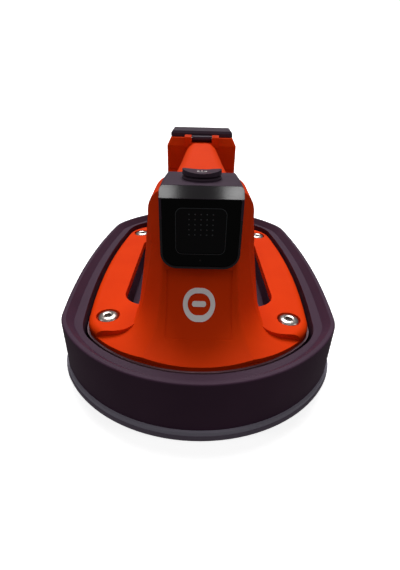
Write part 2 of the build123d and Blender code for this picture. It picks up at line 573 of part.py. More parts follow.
def make_head():
    bezel = head_form(HEAD_LOW_Z - 1, HEAD_SPLIT_Z, HEAD_BACK_Y)
    bezel -= lens_slab(0, HEAD_FACE_Y - 1, HEAD_FACE_Y + LENS_SET_BACK + LENS_T)
    bezel -= lens_slab(1.6, HEAD_FACE_Y - 1, HEAD_BACK_Y + 1)
    nodes["display_bezel"] = bezel

    limit = block((-40, 40), (HEAD_FACE_Y, HEAD_PLATE_BACK_Y), (HEAD_SPLIT_Z, HEAD_TOP_Z))
    limit = chamfer(limit.edges().filter_by(Axis.X).group_by(Axis.Z)[-1].sort_by(Axis.Y)[0],
                    length=CAP_CHAMFER_Z, length2=CAP_CHAMFER_Y)
    cap = head_form(HEAD_SPLIT_Z + TOUCH, HEAD_TOP_Z, HEAD_PLATE_BACK_Y) & limit
    under = HEAD_TOP_Z - CAP_PLATE_T
    cap -= block((-40, 40), (HEAD_BACK_Y, HEAD_PLATE_BACK_Y + 1), (HEAD_SPLIT_Z - 1, under))
    behind = block((-40, 40), (HEAD_BACK_Y, HEAD_PLATE_BACK_Y + 1), (under - 1, HEAD_TOP_Z + 1))
    cap -= behind - prism(plate_outline(), under - 2, HEAD_TOP_Z + 2)
    cap -= lens_slab(0, HEAD_FACE_Y - 1, HEAD_FACE_Y + LENS_SET_BACK + LENS_T)
    cap -= lens_slab(1.6, HEAD_FACE_Y - 1, HEAD_BACK_Y + 1)
    cap -= post(0, BUTTON_Y, under - 1, HEAD_TOP_Z + 1, BUTTON_R + 0.5)
    nodes["head_cap"] = cap

    front = HEAD_FACE_Y + LENS_SET_BACK
    lens = lens_slab(0.15, front, front + LENS_T - 0.05)
    lens -= window_slab(0.25, front - 1, front + LENS_T + 1)
    lens -= bar_y(0, STATUS_Z, front - 1, front + LENS_T + 1, STATUS_R + 0.05)
    nodes["display_lens"] = lens
    window = window_slab(0, front + 0.5, front + LENS_T)
    for x, z in led_places():
        window -= bar_y(x, z, front + 0.9, front + LENS_T + 1, LED_R + 0.1)
    nodes["display_window"] = window


STATUS_Z, STATUS_R = 75.6, 0.6


def bar_y(x, z, low, high, radius):
    """Round bar along Y."""
    return Pos(x, (low + high) / 2, z) * Rot(90, 0, 0) * Cylinder(radius, high - low)


def led_places():
    half = (LED_COUNT - 1) / 2
    return [((i - half) * LED_PITCH_X, LED_MID_Z + (j - half) * LED_PITCH_Z)
            for i in range(LED_COUNT) for j in range(LED_COUNT)]


DISPLAY_BOARD_Y, BOARD_T = -75.4, 1.6


def make_display_electronics():
    board = block((-17.5, 17.5), (DISPLAY_BOARD_Y, DISPLAY_BOARD_Y + BOARD_T), (77, 108))
    nodes["display_board"] = fillet(board.edges().filter_by(Axis.Y), 2)
    front = HEAD_FACE_Y + LENS_SET_BACK
    nodes["led_matrix"] = [bar_y(x, z, front + 1.0, DISPLAY_BOARD_Y - TOUCH, LED_R) for x, z in led_places()]
    nodes["status_led"] = bar_y(0, STATUS_Z, front + 0.1, DISPLAY_BOARD_Y - TOUCH, STATUS_R)


# ---------------------------------------------------------------- power button
CONTROL_BOARD_Z = 97.0
SWITCH_H, SWITCH_TIP_H = 4.6, 1.0
STEM_R, STEM_LOW_Z = 2.6, CONTROL_BOARD_Z + BOARD_T + SWITCH_H + SWITCH_TIP_H + BUTTON_TRAVEL + 0.1
SKIRT_LOW_Z = 111.5


def make_power_button():
    collar = tube(0, BUTTON_Y, HEAD_TOP_Z + TOUCH, HEAD_TOP_Z + COLLAR_H, COLLAR_R, COLLAR_BORE_R)
    collar = chamfer(collar.edges().group_by(Axis.Z)[-1].sort_by(SortBy.LENGTH)[-1], 0.7)
    nodes["button_collar"] = collar

    rim_z = HEAD_TOP_Z + COLLAR_H + BUTTON_RIM_GAP
    button = post(0, BUTTON_Y, SKIRT_LOW_Z, rim_z + 0.5, BUTTON_R)
    button += post(0, BUTTON_Y, rim_z, BUTTON_HORN_Z + 1, BUTTON_RIM_R)
    dip_r = (BUTTON_RIM_R**2 + BUTTON_DIP**2) / (2 * BUTTON_DIP)
    saddle = Pos(0, BUTTON_Y, BUTTON_HORN_Z - BUTTON_DIP + dip_r) * Rot(90 - BUTTON_TILT, 0, 0) * Cylinder(dip_r, 40)
    button -= saddle
    button -= tube(0, BUTTON_Y, SKIRT_LOW_Z - 1, HEAD_TOP_Z - 1, BUTTON_R - 1.4, STEM_R + 1.6)
    button += post(0, BUTTON_Y, STEM_LOW_Z, SKIRT_LOW_Z + 1, STEM_R)
    nodes["power_button"] = button

    board_top = CONTROL_BOARD_Z + BOARD_T
    switch = block((-6, 6), (BUTTON_Y - 6, BUTTON_Y + 6), (board_top + TOUCH, board_top + SWITCH_H - 1))
    switch += post(0, BUTTON_Y, board_top + 1, board_top + SWITCH_H + SWITCH_TIP_H, 1.8)
    nodes["power_switch"] = switch
    spring_low, spring_high = board_top + SWITCH_H - 1 + TOUCH, SKIRT_LOW_Z - TOUCH
    coil_r, wire_r = 3.4, 0.3
    helix = Helix(pitch=1.4, height=spring_high - spring_low - 2 * wire_r, radius=coil_r)
    path = Pos(0, BUTTON_Y, spring_low + wire_r) * helix
    ring = Plane(origin=path @ 0, z_dir=path % 0) * Circle(wire_r)
    nodes["button_spring"] = sweep(ring, path=path, is_frenet=True)


def make_control_board():
    board = block((-19.8, 19.8), (-66.8, -36.0), (CONTROL_BOARD_Z, CONTROL_BOARD_Z + BOARD_T))
    nodes["control_board"] = fillet(board.edges().filter_by(Axis.Z), 2)
    low = CONTROL_BOARD_Z - TOUCH
    nodes["buzzer"] = post(13, -46, low - 7, low, 5.5) - post(13, -46, low - 8, low - 6, 1)
    nodes["controller_chips"] = [
        block((-16, -8), (-52, -44), (low - 1.4, low)),
        block((-15, -10), (-64, -59), (low - 1.2, low)),
        block((9, 15), (-64, -59), (low - 2.2, low)),
    ]
    sensor = block((-5, 5), (-45.5, -37.5), (low - 5, low))
    nodes["vacuum_sensor"] = sensor + post(0, -41.5, low - 9, low - 4, 1.4)


# ---------------------------------------------------------------- pump
def make_motor():
    x, y, z, top = MOTOR_X, MOTOR_Y, MOTOR_Z, MOTOR_Z + MOTOR_H
    can = post(x, y, z, top, MOTOR_R) - post(x, y, z - 1, top - 1.2, MOTOR_R - 1.2)
    can += post(x, y, top - 1.2, top + 2, 4.2)
    can -= post(x, y, z, top + 0.6, SHAFT_R + 1.6)
    nodes["motor_can"] = can
    bell = post(x, y, z - 2, z - TOUCH, MOTOR_R) + post(x, y, z - TOUCH, z + 2, MOTOR_R - 1.2 - TOUCH)
    bell -= post(x, y, z - 3, z + 3, 3.4)
    nodes["motor_end_bell"] = bell
    bore = SHAFT_R + RUN_CLEAR
    nodes["motor_bushes"] = [
        tube(x, y, z - 1.8, z + 1.8, 3.4 - TOUCH, bore),
        tube(x, y, top - 2.6, top + 0.4, SHAFT_R + 1.6 - TOUCH, bore),
    ]
    rotor = post(x, y, z - 13, top - 0.4, SHAFT_R)
    rotor += post(x, y, z + 6, top - 6, 9.6)
    for i in range(5):
        slot = Pos(x, y, z) * Rot(0, 0, 72 * i) * block((6, 12), (-0.8, 0.8), (5, MOTOR_H))
        rotor -= slot
    rotor += post(x + 1.5, y, z - 12, z - 6, 4.5)
    nodes["motor_rotor"] = rotor
    inner = MOTOR_R - 1.2 - TOUCH
    ring = tube(x, y, z + 6, top - 6, inner, 10.4)
    ring -= block((-1.2, 1.2), (y - 20, y + 20), (z, top))
    nodes["motor_magnets"] = ring


PUMP_LOW_Z, PUMP_HALF_X, PUMP_HALF_Y = 24.0, 17.0, 15.0
PUMP_TOP_Z = MOTOR_Z - 2.0 - TOUCH
VALVE_X, VALVE_Y, VALVE_Z = VENT_X, VENT_Y, WELL_Z


def make_pump():
    x, y = MOTOR_X, MOTOR_Y
    chamber_low = PUMP_LOW_Z + 3
    case = rounded_block((x - PUMP_HALF_X, x + PUMP_HALF_X), (y - PUMP_HALF_Y, y + PUMP_HALF_Y),
                         (PUMP_LOW_Z, PUMP_TOP_Z), 3)
    case -= post(x, y, chamber_low, PUMP_TOP_Z + 1, 8.5)
    case -= bar_y(x, PUMP_MID_Z, y - PUMP_HALF_Y - 1, y, DIAPHRAGM_R - 3)
    nodes["pump_case"] = case
    front = y - PUMP_HALF_Y - TOUCH
    disc = bar_y(x, PUMP_MID_Z, front - 1.2, front, DIAPHRAGM_R)
    nodes["pump_diaphragm"] = disc
    cover_back = front - 1.2 - TOUCH
    cover = block((x - 11, x + 11), (cover_back - 6, cover_back), (PUMP_LOW_Z + 1, PUMP_TOP_Z - 1))
    cover -= bar_y(x, PUMP_MID_Z, cover_back - 2.5, cover_back + 1, DIAPHRAGM_R - 1.6)
    cover += post(x + 5, cover_back - 3, PUMP_TOP_Z - 2, PUMP_TOP_Z + 7, 2.4)
    cover += post(x - 5, cover_back - 3, PUMP_TOP_Z - 2, PUMP_TOP_Z + 7, 2.4)
    for side in (-1, 1):
        cover -= post(x + 5 * side, cover_back - 3, PUMP_MID_Z, PUMP_TOP_Z + 8, 1.3)
    nodes["pump_cover"] = cover
    feet = []
    for sx in (-1, 1):
        for sy in (-1, 1):
            fx, fy = x + sx * (PUMP_HALF_X - 4), y + sy * (PUMP_HALF_Y - 4)
            feet.append(post(fx, fy, WELL_Z + TOUCH, PUMP_LOW_Z - TOUCH, 3.5) - post(fx, fy, WELL_Z + 3, WELL_Z + 5, 5)
                        + post(fx, fy, WELL_Z + 2, WELL_Z + 6, 2.6))
    nodes["pump_mounts"] = feet


PUMP_MID_Z, DIAPHRAGM_R = 33.0, 6.4


def hose(points, radii, outer, inner):
    """Tube along straight runs joined by tangent arcs."""
    path = FilletPolyline(*points, radius=radii)
    plane = Plane(origin=path @ 0, z_dir=path % 0)
    solid = sweep(plane * Circle(outer), path=path)
    return solid - sweep(plane * Circle(inner), path=path) if inner else solid


def make_hoses():
    cover_y = MOTOR_Y - PUMP_HALF_Y - 4.2 - 2 * TOUCH
    top, start = PUMP_TOP_Z + 1.2, WELL_Z + 3.0
    rise = 57.0
    points = [(PORT_X, PORT_Y, start), (PORT_X, PORT_Y, rise - 8), (PORT_X - 4, PORT_Y - 12, rise),
              (MOTOR_X + 5, cover_y, rise - 4), (MOTOR_X + 5, cover_y, top)]
    nodes["suction_hose"] = hose(points, [6.0, 6.0, 6.0], 3.8, 2.42)
    muffler = post(MOTOR_X - 5, cover_y, top, top + 16, 4.2) - post(MOTOR_X - 5, cover_y, top - 1, top + 14, 2.42)
    for i in range(4):
        z = top + 10 + i
        muffler -= Pos(MOTOR_X - 5, cover_y, z) * Box(10, 0.8, 0.4)
    nodes["exhaust_muffler"] = muffler


def make_release_valve():
    x, y, z = VALVE_X, VALVE_Y, VALVE_Z
    body = post(x, y, z + TOUCH, z + 24, 6.5)
    body -= post(x, y, z - 1, z + 3, VENT_R)
    body -= post(x, y, z + 2, z + 21, VALVE_PLUNGER_R + RUN_CLEAR)
    body -= Pos(x - 6, y, z + 4.5) * Rot(0, 90, 0) * Cylinder(1.2, 12)
    nodes["valve_body"] = body
    nodes["valve_coil"] = tube(x, y, z + 7, z + 20, 9.4, 6.5 + TOUCH)
    plunger = post(x, y, z + 3.2, z + 16, VALVE_PLUNGER_R) - post(x, y, z + 13, z + 17, 1.9)
    nodes["valve_plunger"] = plunger
    nodes["valve_seat"] = tube(x, y, z + 2 + TOUCH, z + 3.2 - TOUCH, VALVE_PLUNGER_R, 1.8)
    wire_r, low, high = 0.25, z + 13 + TOUCH, z + 21 - TOUCH
    helix = Helix(pitch=1.4, height=high - low - 2 * wire_r, radius=1.45)
    path = Pos(x, y, low + wire_r) * helix
    ring = Plane(origin=path @ 0, z_dir=path % 0) * Circle(wire_r)
    nodes["valve_spring"] = sweep(ring, path=path, is_frenet=True)


VALVE_PLUNGER_R = 3.4


# ---------------------------------------------------------------- battery and lid
BATTERY_HALF_W, BATTERY_FRONT_Y, BATTERY_BACK_Y = 20.6, 68.1, 105.0
BATTERY_LOW_Z, BATTERY_TOP_Z, CASE_WALL = 47.0, 116.5, 1.5
CELL_R, CELL_LEN, CELL_ROW_X, CELL_ROW_STEP = 9.0, 65.0, 9.05, 15.7
TERMINAL_TOP_Z, TERMINAL_LOW_Z = 45.0, 36.0


def make_battery():
    wall = CASE_WALL
    outer = rounded_block((-BATTERY_HALF_W, BATTERY_HALF_W), (BATTERY_FRONT_Y, BATTERY_BACK_Y),
                          (BATTERY_LOW_Z, BATTERY_TOP_Z), 4)
    inner = rounded_block((-BATTERY_HALF_W + wall, BATTERY_HALF_W - wall),
                          (BATTERY_FRONT_Y + wall, BATTERY_BACK_Y - wall),
                          (BATTERY_LOW_Z + wall, BATTERY_TOP_Z - wall), 2.5)
    slot = block((-30, 30), (BATTERY_FRONT_Y + 16.8, BATTERY_FRONT_Y + 18.0), (BATTERY_TOP_Z - 5, BATTERY_TOP_Z - 4.2))
    nodes["battery_case"] = outer - inner - slot
    cell_low = BATTERY_LOW_Z + wall + 0.6
    first_y = BATTERY_FRONT_Y + wall + CELL_R + 0.1
    places = [(-CELL_ROW_X, first_y), (CELL_ROW_X, first_y), (0.0, first_y + CELL_ROW_STEP)]
    nodes["battery_cells"] = [post(x, y, cell_low, cell_low + CELL_LEN, CELL_R) for x, y in places]
    ribbon_y = BATTERY_FRONT_Y + 24
    ribbon = block((-5, 5), (ribbon_y, ribbon_y + 8), (BATTERY_TOP_Z + TOUCH, BATTERY_TOP_Z + 0.8))
    nodes["battery_pull_tab"] = ribbon
    contacts = [block((x - 3, x + 3), (76, 90), (TERMINAL_TOP_Z + TOUCH, BATTERY_LOW_Z - TOUCH)) for x in (-9, 9)]
    nodes["battery_contacts"] = contacts
    terminal = block((-16, 16), (72, 94), (TERMINAL_LOW_Z, TERMINAL_TOP_Z))
    nodes["terminal_block"] = fillet(terminal.edges().filter_by(Axis.Z), 2)
    shelf = block((-24, 24), (67, 101), (TERMINAL_LOW_Z - 3, TERMINAL_LOW_Z - TOUCH))
    legs = [post(sx * 20, y, WELL_Z + TOUCH, TERMINAL_LOW_Z - 3, 3) for sx in (-1, 1) for y in (71, 97)]
    for leg in legs:
        shelf += leg
    nodes["battery_shelf"] = shelf


def make_leads():
    """Two leads from the battery up its front and through the handle to the control board."""
    start_z, duct_z = TERMINAL_LOW_Z + 4, 105.0
    end_z = CONTROL_BOARD_Z + BOARD_T + 0.1
    for name, x in (("battery_lead_positive", 3.0), ("battery_lead_negative", -3.0)):
        points = [(x, 66.7, start_z), (x, 66.7, duct_z), (x, -38.6, duct_z), (x, -38.6, end_z)]
        nodes[name] = hose(points, [8.0, 5.0], 1.2, 0)


def make_lid():
    lid = rounded_block((-LID_HALF_W, LID_HALF_W), (LID_FRONT_Y, LID_BACK_Y),
                        (BOX_TOP_Z + LID_GAP, LID_TOP_Z), LID_CORNER_R)
    lid = chamfer(lid.edges().group_by(Axis.Z)[-1], length=LID_CHAMFER, length2=LID_CHAMFER * 0.7)
    lid -= rounded_block((-BAY_HALF_W + 2.6, BAY_HALF_W - 2.6), (BAY_FRONT_Y + 2.6, BAY_BACK_Y - 2.6),
                         (0, LID_TOP_Z - 2.4), 2)
    skirt = rounded_block((-BAY_HALF_W + 0.8, BAY_HALF_W - 0.8), (BAY_FRONT_Y + 2.0, BAY_BACK_Y - 0.8),
                          (BOX_TOP_Z - 3.2, BOX_TOP_Z + LID_GAP + 0.5), 2.4)
    skirt -= rounded_block((-BAY_HALF_W + 2.6, BAY_HALF_W - 2.6), (BAY_FRONT_Y + 3.8, BAY_BACK_Y - 2.6),
                           (0, LID_TOP_Z), 1.2)
    lid += skirt
    half = LUG_IN_X - KNUCKLE_GAP
    knuckle = bar_x(HINGE_Y, HINGE_Z, -half, half, KNUCKLE_R)
    knuckle += block((-half, half), (HINGE_Y, LID_FRONT_Y + 1), (BOX_TOP_Z + LID_GAP, HINGE_Z + KNUCKLE_R))
    lid += knuckle
    lid -= bar_x(HINGE_Y, HINGE_Z, -half - 1, half + 1, PIN_R + PIN_CLEAR)
    nodes["battery_lid"] = lid
    nodes["hinge_pin"] = bar_x(HINGE_Y, HINGE_Z, -LUG_OUT_X + 0.2, LUG_OUT_X - 0.2, PIN_R)
    gasket = rounded_block((-BAY_HALF_W - 2.2, BAY_HALF_W + 2.2), (BAY_FRONT_Y - 0.4, BAY_BACK_Y + 1.2),
                           (BOX_TOP_Z + 0.01, BOX_TOP_Z + LID_GAP - 0.01), 3)
    gasket -= rounded_block((-BAY_HALF_W, BAY_HALF_W), (BAY_FRONT_Y + 1.0, BAY_BACK_Y), (100, 140), 2)
    nodes["lid_gasket"] = gasket


# ---------------------------------------------------------------- badge
BADGE_HALF_W, BADGE_LOW_Z, BADGE_HIGH_Z, BADGE_LINE, BADGE_PROUD = 9.6, 40.5, 57.5, 2.8, 0.5
BADGE_BAR_HALF_W, BADGE_BAR_HALF_H = 4.2, 1.4


def badge_slab(half_w, half_h):
    """Rounded slab of this size, passed level through the front face."""
    plane = Plane(origin=(0, -110, (BADGE_LOW_Z + BADGE_HIGH_Z) / 2), x_dir=(1, 0, 0), z_dir=(0, 1, 0))
    return extrude(plane * RectangleRounded(2 * half_w, 2 * half_h, min(half_w, half_h) - 0.01), 45)


def make_badge():
    """A plain sign on the front panel: the lifting face as a ring and the handle as a bar."""
    over = tower(FRONT_ROWS, -1, FRONT_SIDE_Y, FRONT_TOWER_BACK_Y, PANEL_DEPTH - BADGE_PROUD - TOUCH)
    under = tower(FRONT_ROWS, -1, FRONT_SIDE_Y, FRONT_TOWER_BACK_Y, PANEL_DEPTH - TOUCH)
    half_h = (BADGE_HIGH_Z - BADGE_LOW_Z) / 2
    sign = badge_slab(BADGE_HALF_W, half_h) - badge_slab(BADGE_HALF_W - BADGE_LINE, half_h - BADGE_LINE)
    sign += badge_slab(BADGE_BAR_HALF_W, BADGE_BAR_HALF_H)
    nodes["front_badge"] = (over - under) & sign


def build():
    make_seal()
    make_base_plate()
    make_tray()
    make_gasket()
    make_inlet()
    make_lower_housing()
    make_flange_screws()
    make_badge()
    make_upper_housing()
    make_grip_strip()
    make_shell_screws()
    make_head()
    make_display_electronics()
    make_power_button()
    make_control_board()
    make_motor()
    make_pump()
    make_hoses()
    make_release_valve()
    make_battery()
    make_leads()
    make_lid()


build()
os.makedirs("parts", exist_ok=True)
for name, shape in nodes.items():
    if isinstance(shape, list):
        shape = Compound([s for item in shape for s in item.solids()])
    export_step(shape, f"parts/{name}.step")
    print(name, len(shape.solids()))
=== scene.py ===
"""Cordless vacuum lifter: finishes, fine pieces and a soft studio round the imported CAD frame."""
import logging
import math
from dataclasses import dataclass, field
from enum import Enum

import bmesh
import bpy
from mathutils import Matrix, Vector


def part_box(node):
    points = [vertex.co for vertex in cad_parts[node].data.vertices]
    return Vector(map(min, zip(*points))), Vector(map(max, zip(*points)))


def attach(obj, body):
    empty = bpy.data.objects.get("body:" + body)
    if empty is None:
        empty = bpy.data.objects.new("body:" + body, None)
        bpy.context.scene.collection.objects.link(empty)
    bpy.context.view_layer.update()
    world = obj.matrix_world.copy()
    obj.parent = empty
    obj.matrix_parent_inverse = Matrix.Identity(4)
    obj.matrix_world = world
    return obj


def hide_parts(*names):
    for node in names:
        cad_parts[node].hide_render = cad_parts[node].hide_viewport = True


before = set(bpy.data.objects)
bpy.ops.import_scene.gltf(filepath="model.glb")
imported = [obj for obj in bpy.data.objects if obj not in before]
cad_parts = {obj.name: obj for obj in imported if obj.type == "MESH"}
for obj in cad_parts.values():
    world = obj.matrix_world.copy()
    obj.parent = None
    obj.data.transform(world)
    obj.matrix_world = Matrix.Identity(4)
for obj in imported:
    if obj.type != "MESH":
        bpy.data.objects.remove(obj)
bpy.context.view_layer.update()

MM = 0.001
log = logging.getLogger("vacuum_lifter")


# ------------------------------------------------------------------ small helpers
def srgb(code: str) -> tuple[float, float, float, float]:
    """Turns an sRGB hex colour into linear RGBA.

    Args:
        code: six hex digits, with or without a leading #.

    Returns:
        Linear red, green, blue and an alpha of one.
    """
    parts = [int(code.lstrip("#")[i:i + 2], 16) / 255 for i in (0, 2, 4)]
    red, green, blue = (c / 12.92 if c <= 0.04045 else ((c + 0.055) / 1.055) ** 2.4 for c in parts)
    return red, green, blue, 1.0


def per_metre(size_mm: float) -> float:
    """Pattern scale, in features per metre, for a feature of this size in millimetres."""
    return 1.0 / (size_mm * MM)


def add_node(tree: bpy.types.NodeTree, kind: str, values: dict | None = None, links: dict | None = None,
             **settings: object) -> bpy.types.Node:
    """Adds one shader node.

    Args:
        tree: the node tree that gets the node.
        kind: the node's type name.
        values: numbers or colours for its input sockets.
        links: output sockets to plug into its inputs.
        settings: properties of the node itself.

    Returns:
        The new node.
    """
    node = tree.nodes.new(kind)
    for key, value in settings.items():
        setattr(node, key, value)
    for key, value in (values or {}).items():
        node.inputs[key].default_value = value
    for key, socket in (links or {}).items():
        tree.links.new(socket, node.inputs[key])
    return node


def mesh_object(name: str, bm: bmesh.types.BMesh, smooth_angle: float = 35.0) -> bpy.types.Object:
    """Turns a bmesh into an object at the origin, shaded smooth below an angle.

    Args:
        name: the piece's name.
        bm: the shape, in metres; it is freed.
        smooth_angle: edges sharper than this many degrees stay crisp.

    Returns:
        The linked object.
    """
    bmesh.ops.recalc_face_normals(bm, faces=bm.faces)
    for face in bm.faces:
        face.smooth = True
    for edge in bm.edges:
        if len(edge.link_faces) == 2 and edge.calc_face_angle(0.0) > math.radians(smooth_angle):
            edge.smooth = False
    mesh = bpy.data.meshes.new(name)
    bm.to_mesh(mesh)
    bm.free()
    piece = bpy.data.objects.new(name, mesh)
    bpy.context.scene.collection.objects.link(piece)
    return piece


def slab(bm: bmesh.types.BMesh, width: float, depth: float, radius: float, steps: int = 8) -> list:
    """Adds a flat rounded rectangle in the XY plane, centred on the origin.

    Args:
        bm: the mesh that gets the face.
        width: size along X, in metres.
        depth: size along Y, in metres.
        radius: corner radius, in metres.
        steps: segments in each corner.

    Returns:
        The faces of the rectangle.
    """
    grid = bmesh.ops.create_grid(bm, x_segments=1, y_segments=1, size=0.5)
    bmesh.ops.scale(bm, vec=(width, depth, 1.0), verts=grid["verts"])
    corners = bmesh.ops.bevel(bm, geom=grid["verts"], offset=radius, offset_type="OFFSET", affect="VERTICES",
                              segments=steps, profile=0.5, material=-1)
    return [f for f in bm.faces if any(v in f.verts for v in corners["verts"])]


# ------------------------------------------------------------------ finishes
class Surface(Enum):
    """How a surface was made, which sets the pattern of its relief."""

    SPARKED = "spark eroded mould"
    POLISHED = "polished mould"
    CELLS = "closed foam cells"
    DRAWN = "drawn or brushed along Z"
    WOVEN = "woven or felted threads"


@dataclass(frozen=True)
class Finish:
    """One real material: its colours, its gloss and the relief that its making leaves."""

    name: str
    slot: str
    deep: str
    pale: str
    roughness: float
    surface: Surface = Surface.SPARKED
    grain_mm: float = 0.6
    relief_mm: float = 0.02
    cloud_mm: float = 35.0
    roughness_spread: float = 0.05
    metallic: float = 0.0
    ior: float = 1.5
    coat: float = 0.0
    coat_roughness: float = 0.05
    specular: float = 0.5

    def relief(self, tree: bpy.types.NodeTree, place: bpy.types.NodeSocket) -> bpy.types.NodeSocket:
        """Adds the height pattern of the surface and returns its socket."""
        scale = per_metre(self.grain_mm)
        if self.surface is Surface.CELLS:
            cells = add_node(tree, "ShaderNodeTexVoronoi", {"Scale": scale}, {"Vector": place},
                             feature="SMOOTH_F1")
            return cells.outputs["Distance"]
        if self.surface is Surface.DRAWN:
            stretch = add_node(tree, "ShaderNodeMapping", {"Scale": (1.0, 1.0, 0.06)}, {"Vector": place})
            lines = add_node(tree, "ShaderNodeTexNoise", {"Scale": scale, "Detail": 3.0},
                             {"Vector": stretch.outputs["Vector"]})
            return lines.outputs["Fac"]
        if self.surface is Surface.WOVEN:
            threads = add_node(tree, "ShaderNodeTexWave", {"Scale": scale / 6.3, "Distortion": 2.0},
                               {"Vector": place}, bands_direction="DIAGONAL")
            return threads.outputs["Fac"]
        detail = 0.0 if self.surface is Surface.POLISHED else 4.0
        grain = add_node(tree, "ShaderNodeTexNoise", {"Scale": scale, "Detail": detail, "Roughness": 0.6},
                         {"Vector": place})
        return grain.outputs["Fac"]

    def make(self) -> bpy.types.Material:
        """Builds the node material.

        Returns:
            The material, named for what the real one is.
        """
        material = bpy.data.materials.new(self.name)
        material.use_nodes = True
        tree = material.node_tree
        tree.nodes.clear()
        place = add_node(tree, "ShaderNodeTexCoord").outputs["Object"]
        cloud = add_node(tree, "ShaderNodeTexNoise", {"Scale": per_metre(self.cloud_mm), "Detail": 2.0},
                         {"Vector": place})
        tint = add_node(tree, "ShaderNodeMix", {6: srgb(self.deep), 7: srgb(self.pale)},
                        {0: cloud.outputs["Fac"]}, data_type="RGBA")
        height = self.relief(tree, place)
        rough = add_node(tree, "ShaderNodeMapRange",
                         {"To Min": max(0.02, self.roughness - self.roughness_spread),
                          "To Max": self.roughness + self.roughness_spread}, {"Value": height})
        bump = add_node(tree, "ShaderNodeBump", {"Strength": 1.0, "Distance": self.relief_mm * MM},
                        {"Height": height})
        shader = add_node(
            tree, "ShaderNodeBsdfPrincipled",
            {"Metallic": self.metallic, "IOR": self.ior, "Coat Weight": self.coat,
             "Coat Roughness": self.coat_roughness, "Specular IOR Level": self.specular},
            {"Base Color": tint.outputs[2], "Roughness": rough.outputs["Result"],
             "Normal": bump.outputs["Normal"]})
        add_node(tree, "ShaderNodeOutputMaterial", links={"Surface": shader.outputs["BSDF"]})
        return material


# ABS housing, moulded in a spark eroded tool: an even, nearly matt orange with a fine grain.
SHELL_ORANGE = Finish("orange ABS, spark eroded", "shell_orange", "d83404", "e94108", 0.6, grain_mm=0.7,
                      relief_mm=0.008, ior=1.53, specular=0.03)
# Glass filled nylon tray: dark plum with a slightly cloudy skin.
TRAY_PLUM = Finish("plum glass filled nylon", "tray_plum", "3a2636", "482f42", 0.5, grain_mm=0.8,
                   relief_mm=0.008, ior=1.52, specular=0.10)
# Head parts and the lid in smooth ABS: the same plum, a little paler and satin.
HEAD_PLUM = Finish("plum ABS, polished", "head_plum", "3d303c", "493a47", 0.4, Surface.POLISHED,
                   grain_mm=8.0, relief_mm=0.002, ior=1.53, specular=0.05)
# The same ABS where it was polished, round the lens and on the band over it, with bright reflections; its
# colour is painted shade, far darker than the head plum.
HEAD_GLOSS_PAINTED_SHADE = Finish("plum ABS, high gloss, painted shade", "head_plum", "120c12", "1a121a", 0.11, Surface.POLISHED,
                    grain_mm=9.0, relief_mm=0.001, roughness_spread=0.02, ior=1.53, specular=0.5)
# Hard coated PMMA lens: deep black with faint reflections.
LENS_BLACK = Finish("black PMMA lens", "lens_black", "010101", "020202", 0.08, Surface.POLISHED,
                    grain_mm=20.0, relief_mm=0.001, roughness_spread=0.01, ior=1.49, specular=0.15)
# Smoked PMMA over the dots: a shade paler than the lens round it, nearly as glossy.
WINDOW_SMOKE = Finish("smoked PMMA window", "window_smoke", "050406", "080608", 0.12, Surface.POLISHED,
                      grain_mm=18.0, relief_mm=0.001, roughness_spread=0.01, ior=1.49, specular=0.2)
# Closed cell EPDM foam: dull grey with a pitted cut edge. Cells drawn coarse so that they show.
FOAM_GREY = Finish("EPDM foam", "foam_grey", "655a68", "756a79", 0.85, Surface.CELLS, grain_mm=1.1,
                   relief_mm=0.12, ior=1.45, specular=0.25)
# Silicone carrier that holds the foam: smoother and a little paler than the foam.
CARRIER_GREY = Finish("silicone carrier", "carrier_grey", "8a8492", "9a94a3", 0.55, grain_mm=1.0,
                      relief_mm=0.02, ior=1.41)
GASKET_GREY = Finish("silicone gasket", "gasket_grey", "80606a", "8f6e78", 0.5, grain_mm=1.0,
                     relief_mm=0.02, ior=1.41)
# TPE rubber: near black, dull, slightly soft looking.
GRIP_RUBBER = Finish("TPE rubber", "grip_rubber", "0e0c0e", "171417", 0.7, grain_mm=0.5, relief_mm=0.03)
PLATE_BLACK = Finish("black nylon, moulded", "plate_black", "111013", "1a191d", 0.5, grain_mm=0.8,
                     relief_mm=0.015)
PUMP_GREY = Finish("grey glass filled nylon", "pump_grey", "2c2f33", "3a3d42", 0.5, grain_mm=0.9,
                   relief_mm=0.02)
CHIP_BLACK = Finish("epoxy package", "chip_black", "08080a", "101012", 0.45, grain_mm=0.4, relief_mm=0.006)
BATTERY_BLACK = Finish("black polycarbonate case", "battery_black", "0c0c0f", "141418", 0.35, grain_mm=0.9,
                       relief_mm=0.01, ior=1.58)
VALVE_BLUE = Finish("blue PBT, moulded", "valve_blue", "10203f", "162a50", 0.4, grain_mm=0.8,
                    relief_mm=0.01)
CELL_GREEN = Finish("shrink sleeve", "cell_green", "12503f", "196450", 0.3, Surface.POLISHED, grain_mm=9.0,
                    relief_mm=0.03)
# Zinc plated steel screws: pale grey, softly streaked by tumbling.
SCREW_STEEL = Finish("zinc plated steel", "screw_steel", "a59c98", "c3bab4", 0.3, Surface.SPARKED,
                     grain_mm=1.4, relief_mm=0.006, cloud_mm=5.0, metallic=1.0)
SPRING_STEEL = Finish("drawn spring wire", "spring_steel", "8a8a8c", "a5a5a8", 0.3, Surface.DRAWN,
                      grain_mm=0.3, relief_mm=0.004, metallic=1.0)
MOTOR_STEEL = Finish("nickel plated steel", "motor_steel", "8d9094", "a6a9ad", 0.25, Surface.DRAWN,
                     grain_mm=0.4, relief_mm=0.004, metallic=1.0)
ROTOR_STEEL = Finish("steel laminations", "rotor_steel", "6b5a4e", "8a6a52", 0.4, Surface.WOVEN,
                     grain_mm=0.5, relief_mm=0.03, metallic=1.0)
INSERT_BRASS = Finish("machined brass", "insert_brass", "b08840", "c79b4c", 0.3, Surface.DRAWN,
                      grain_mm=0.5, relief_mm=0.006, metallic=1.0)
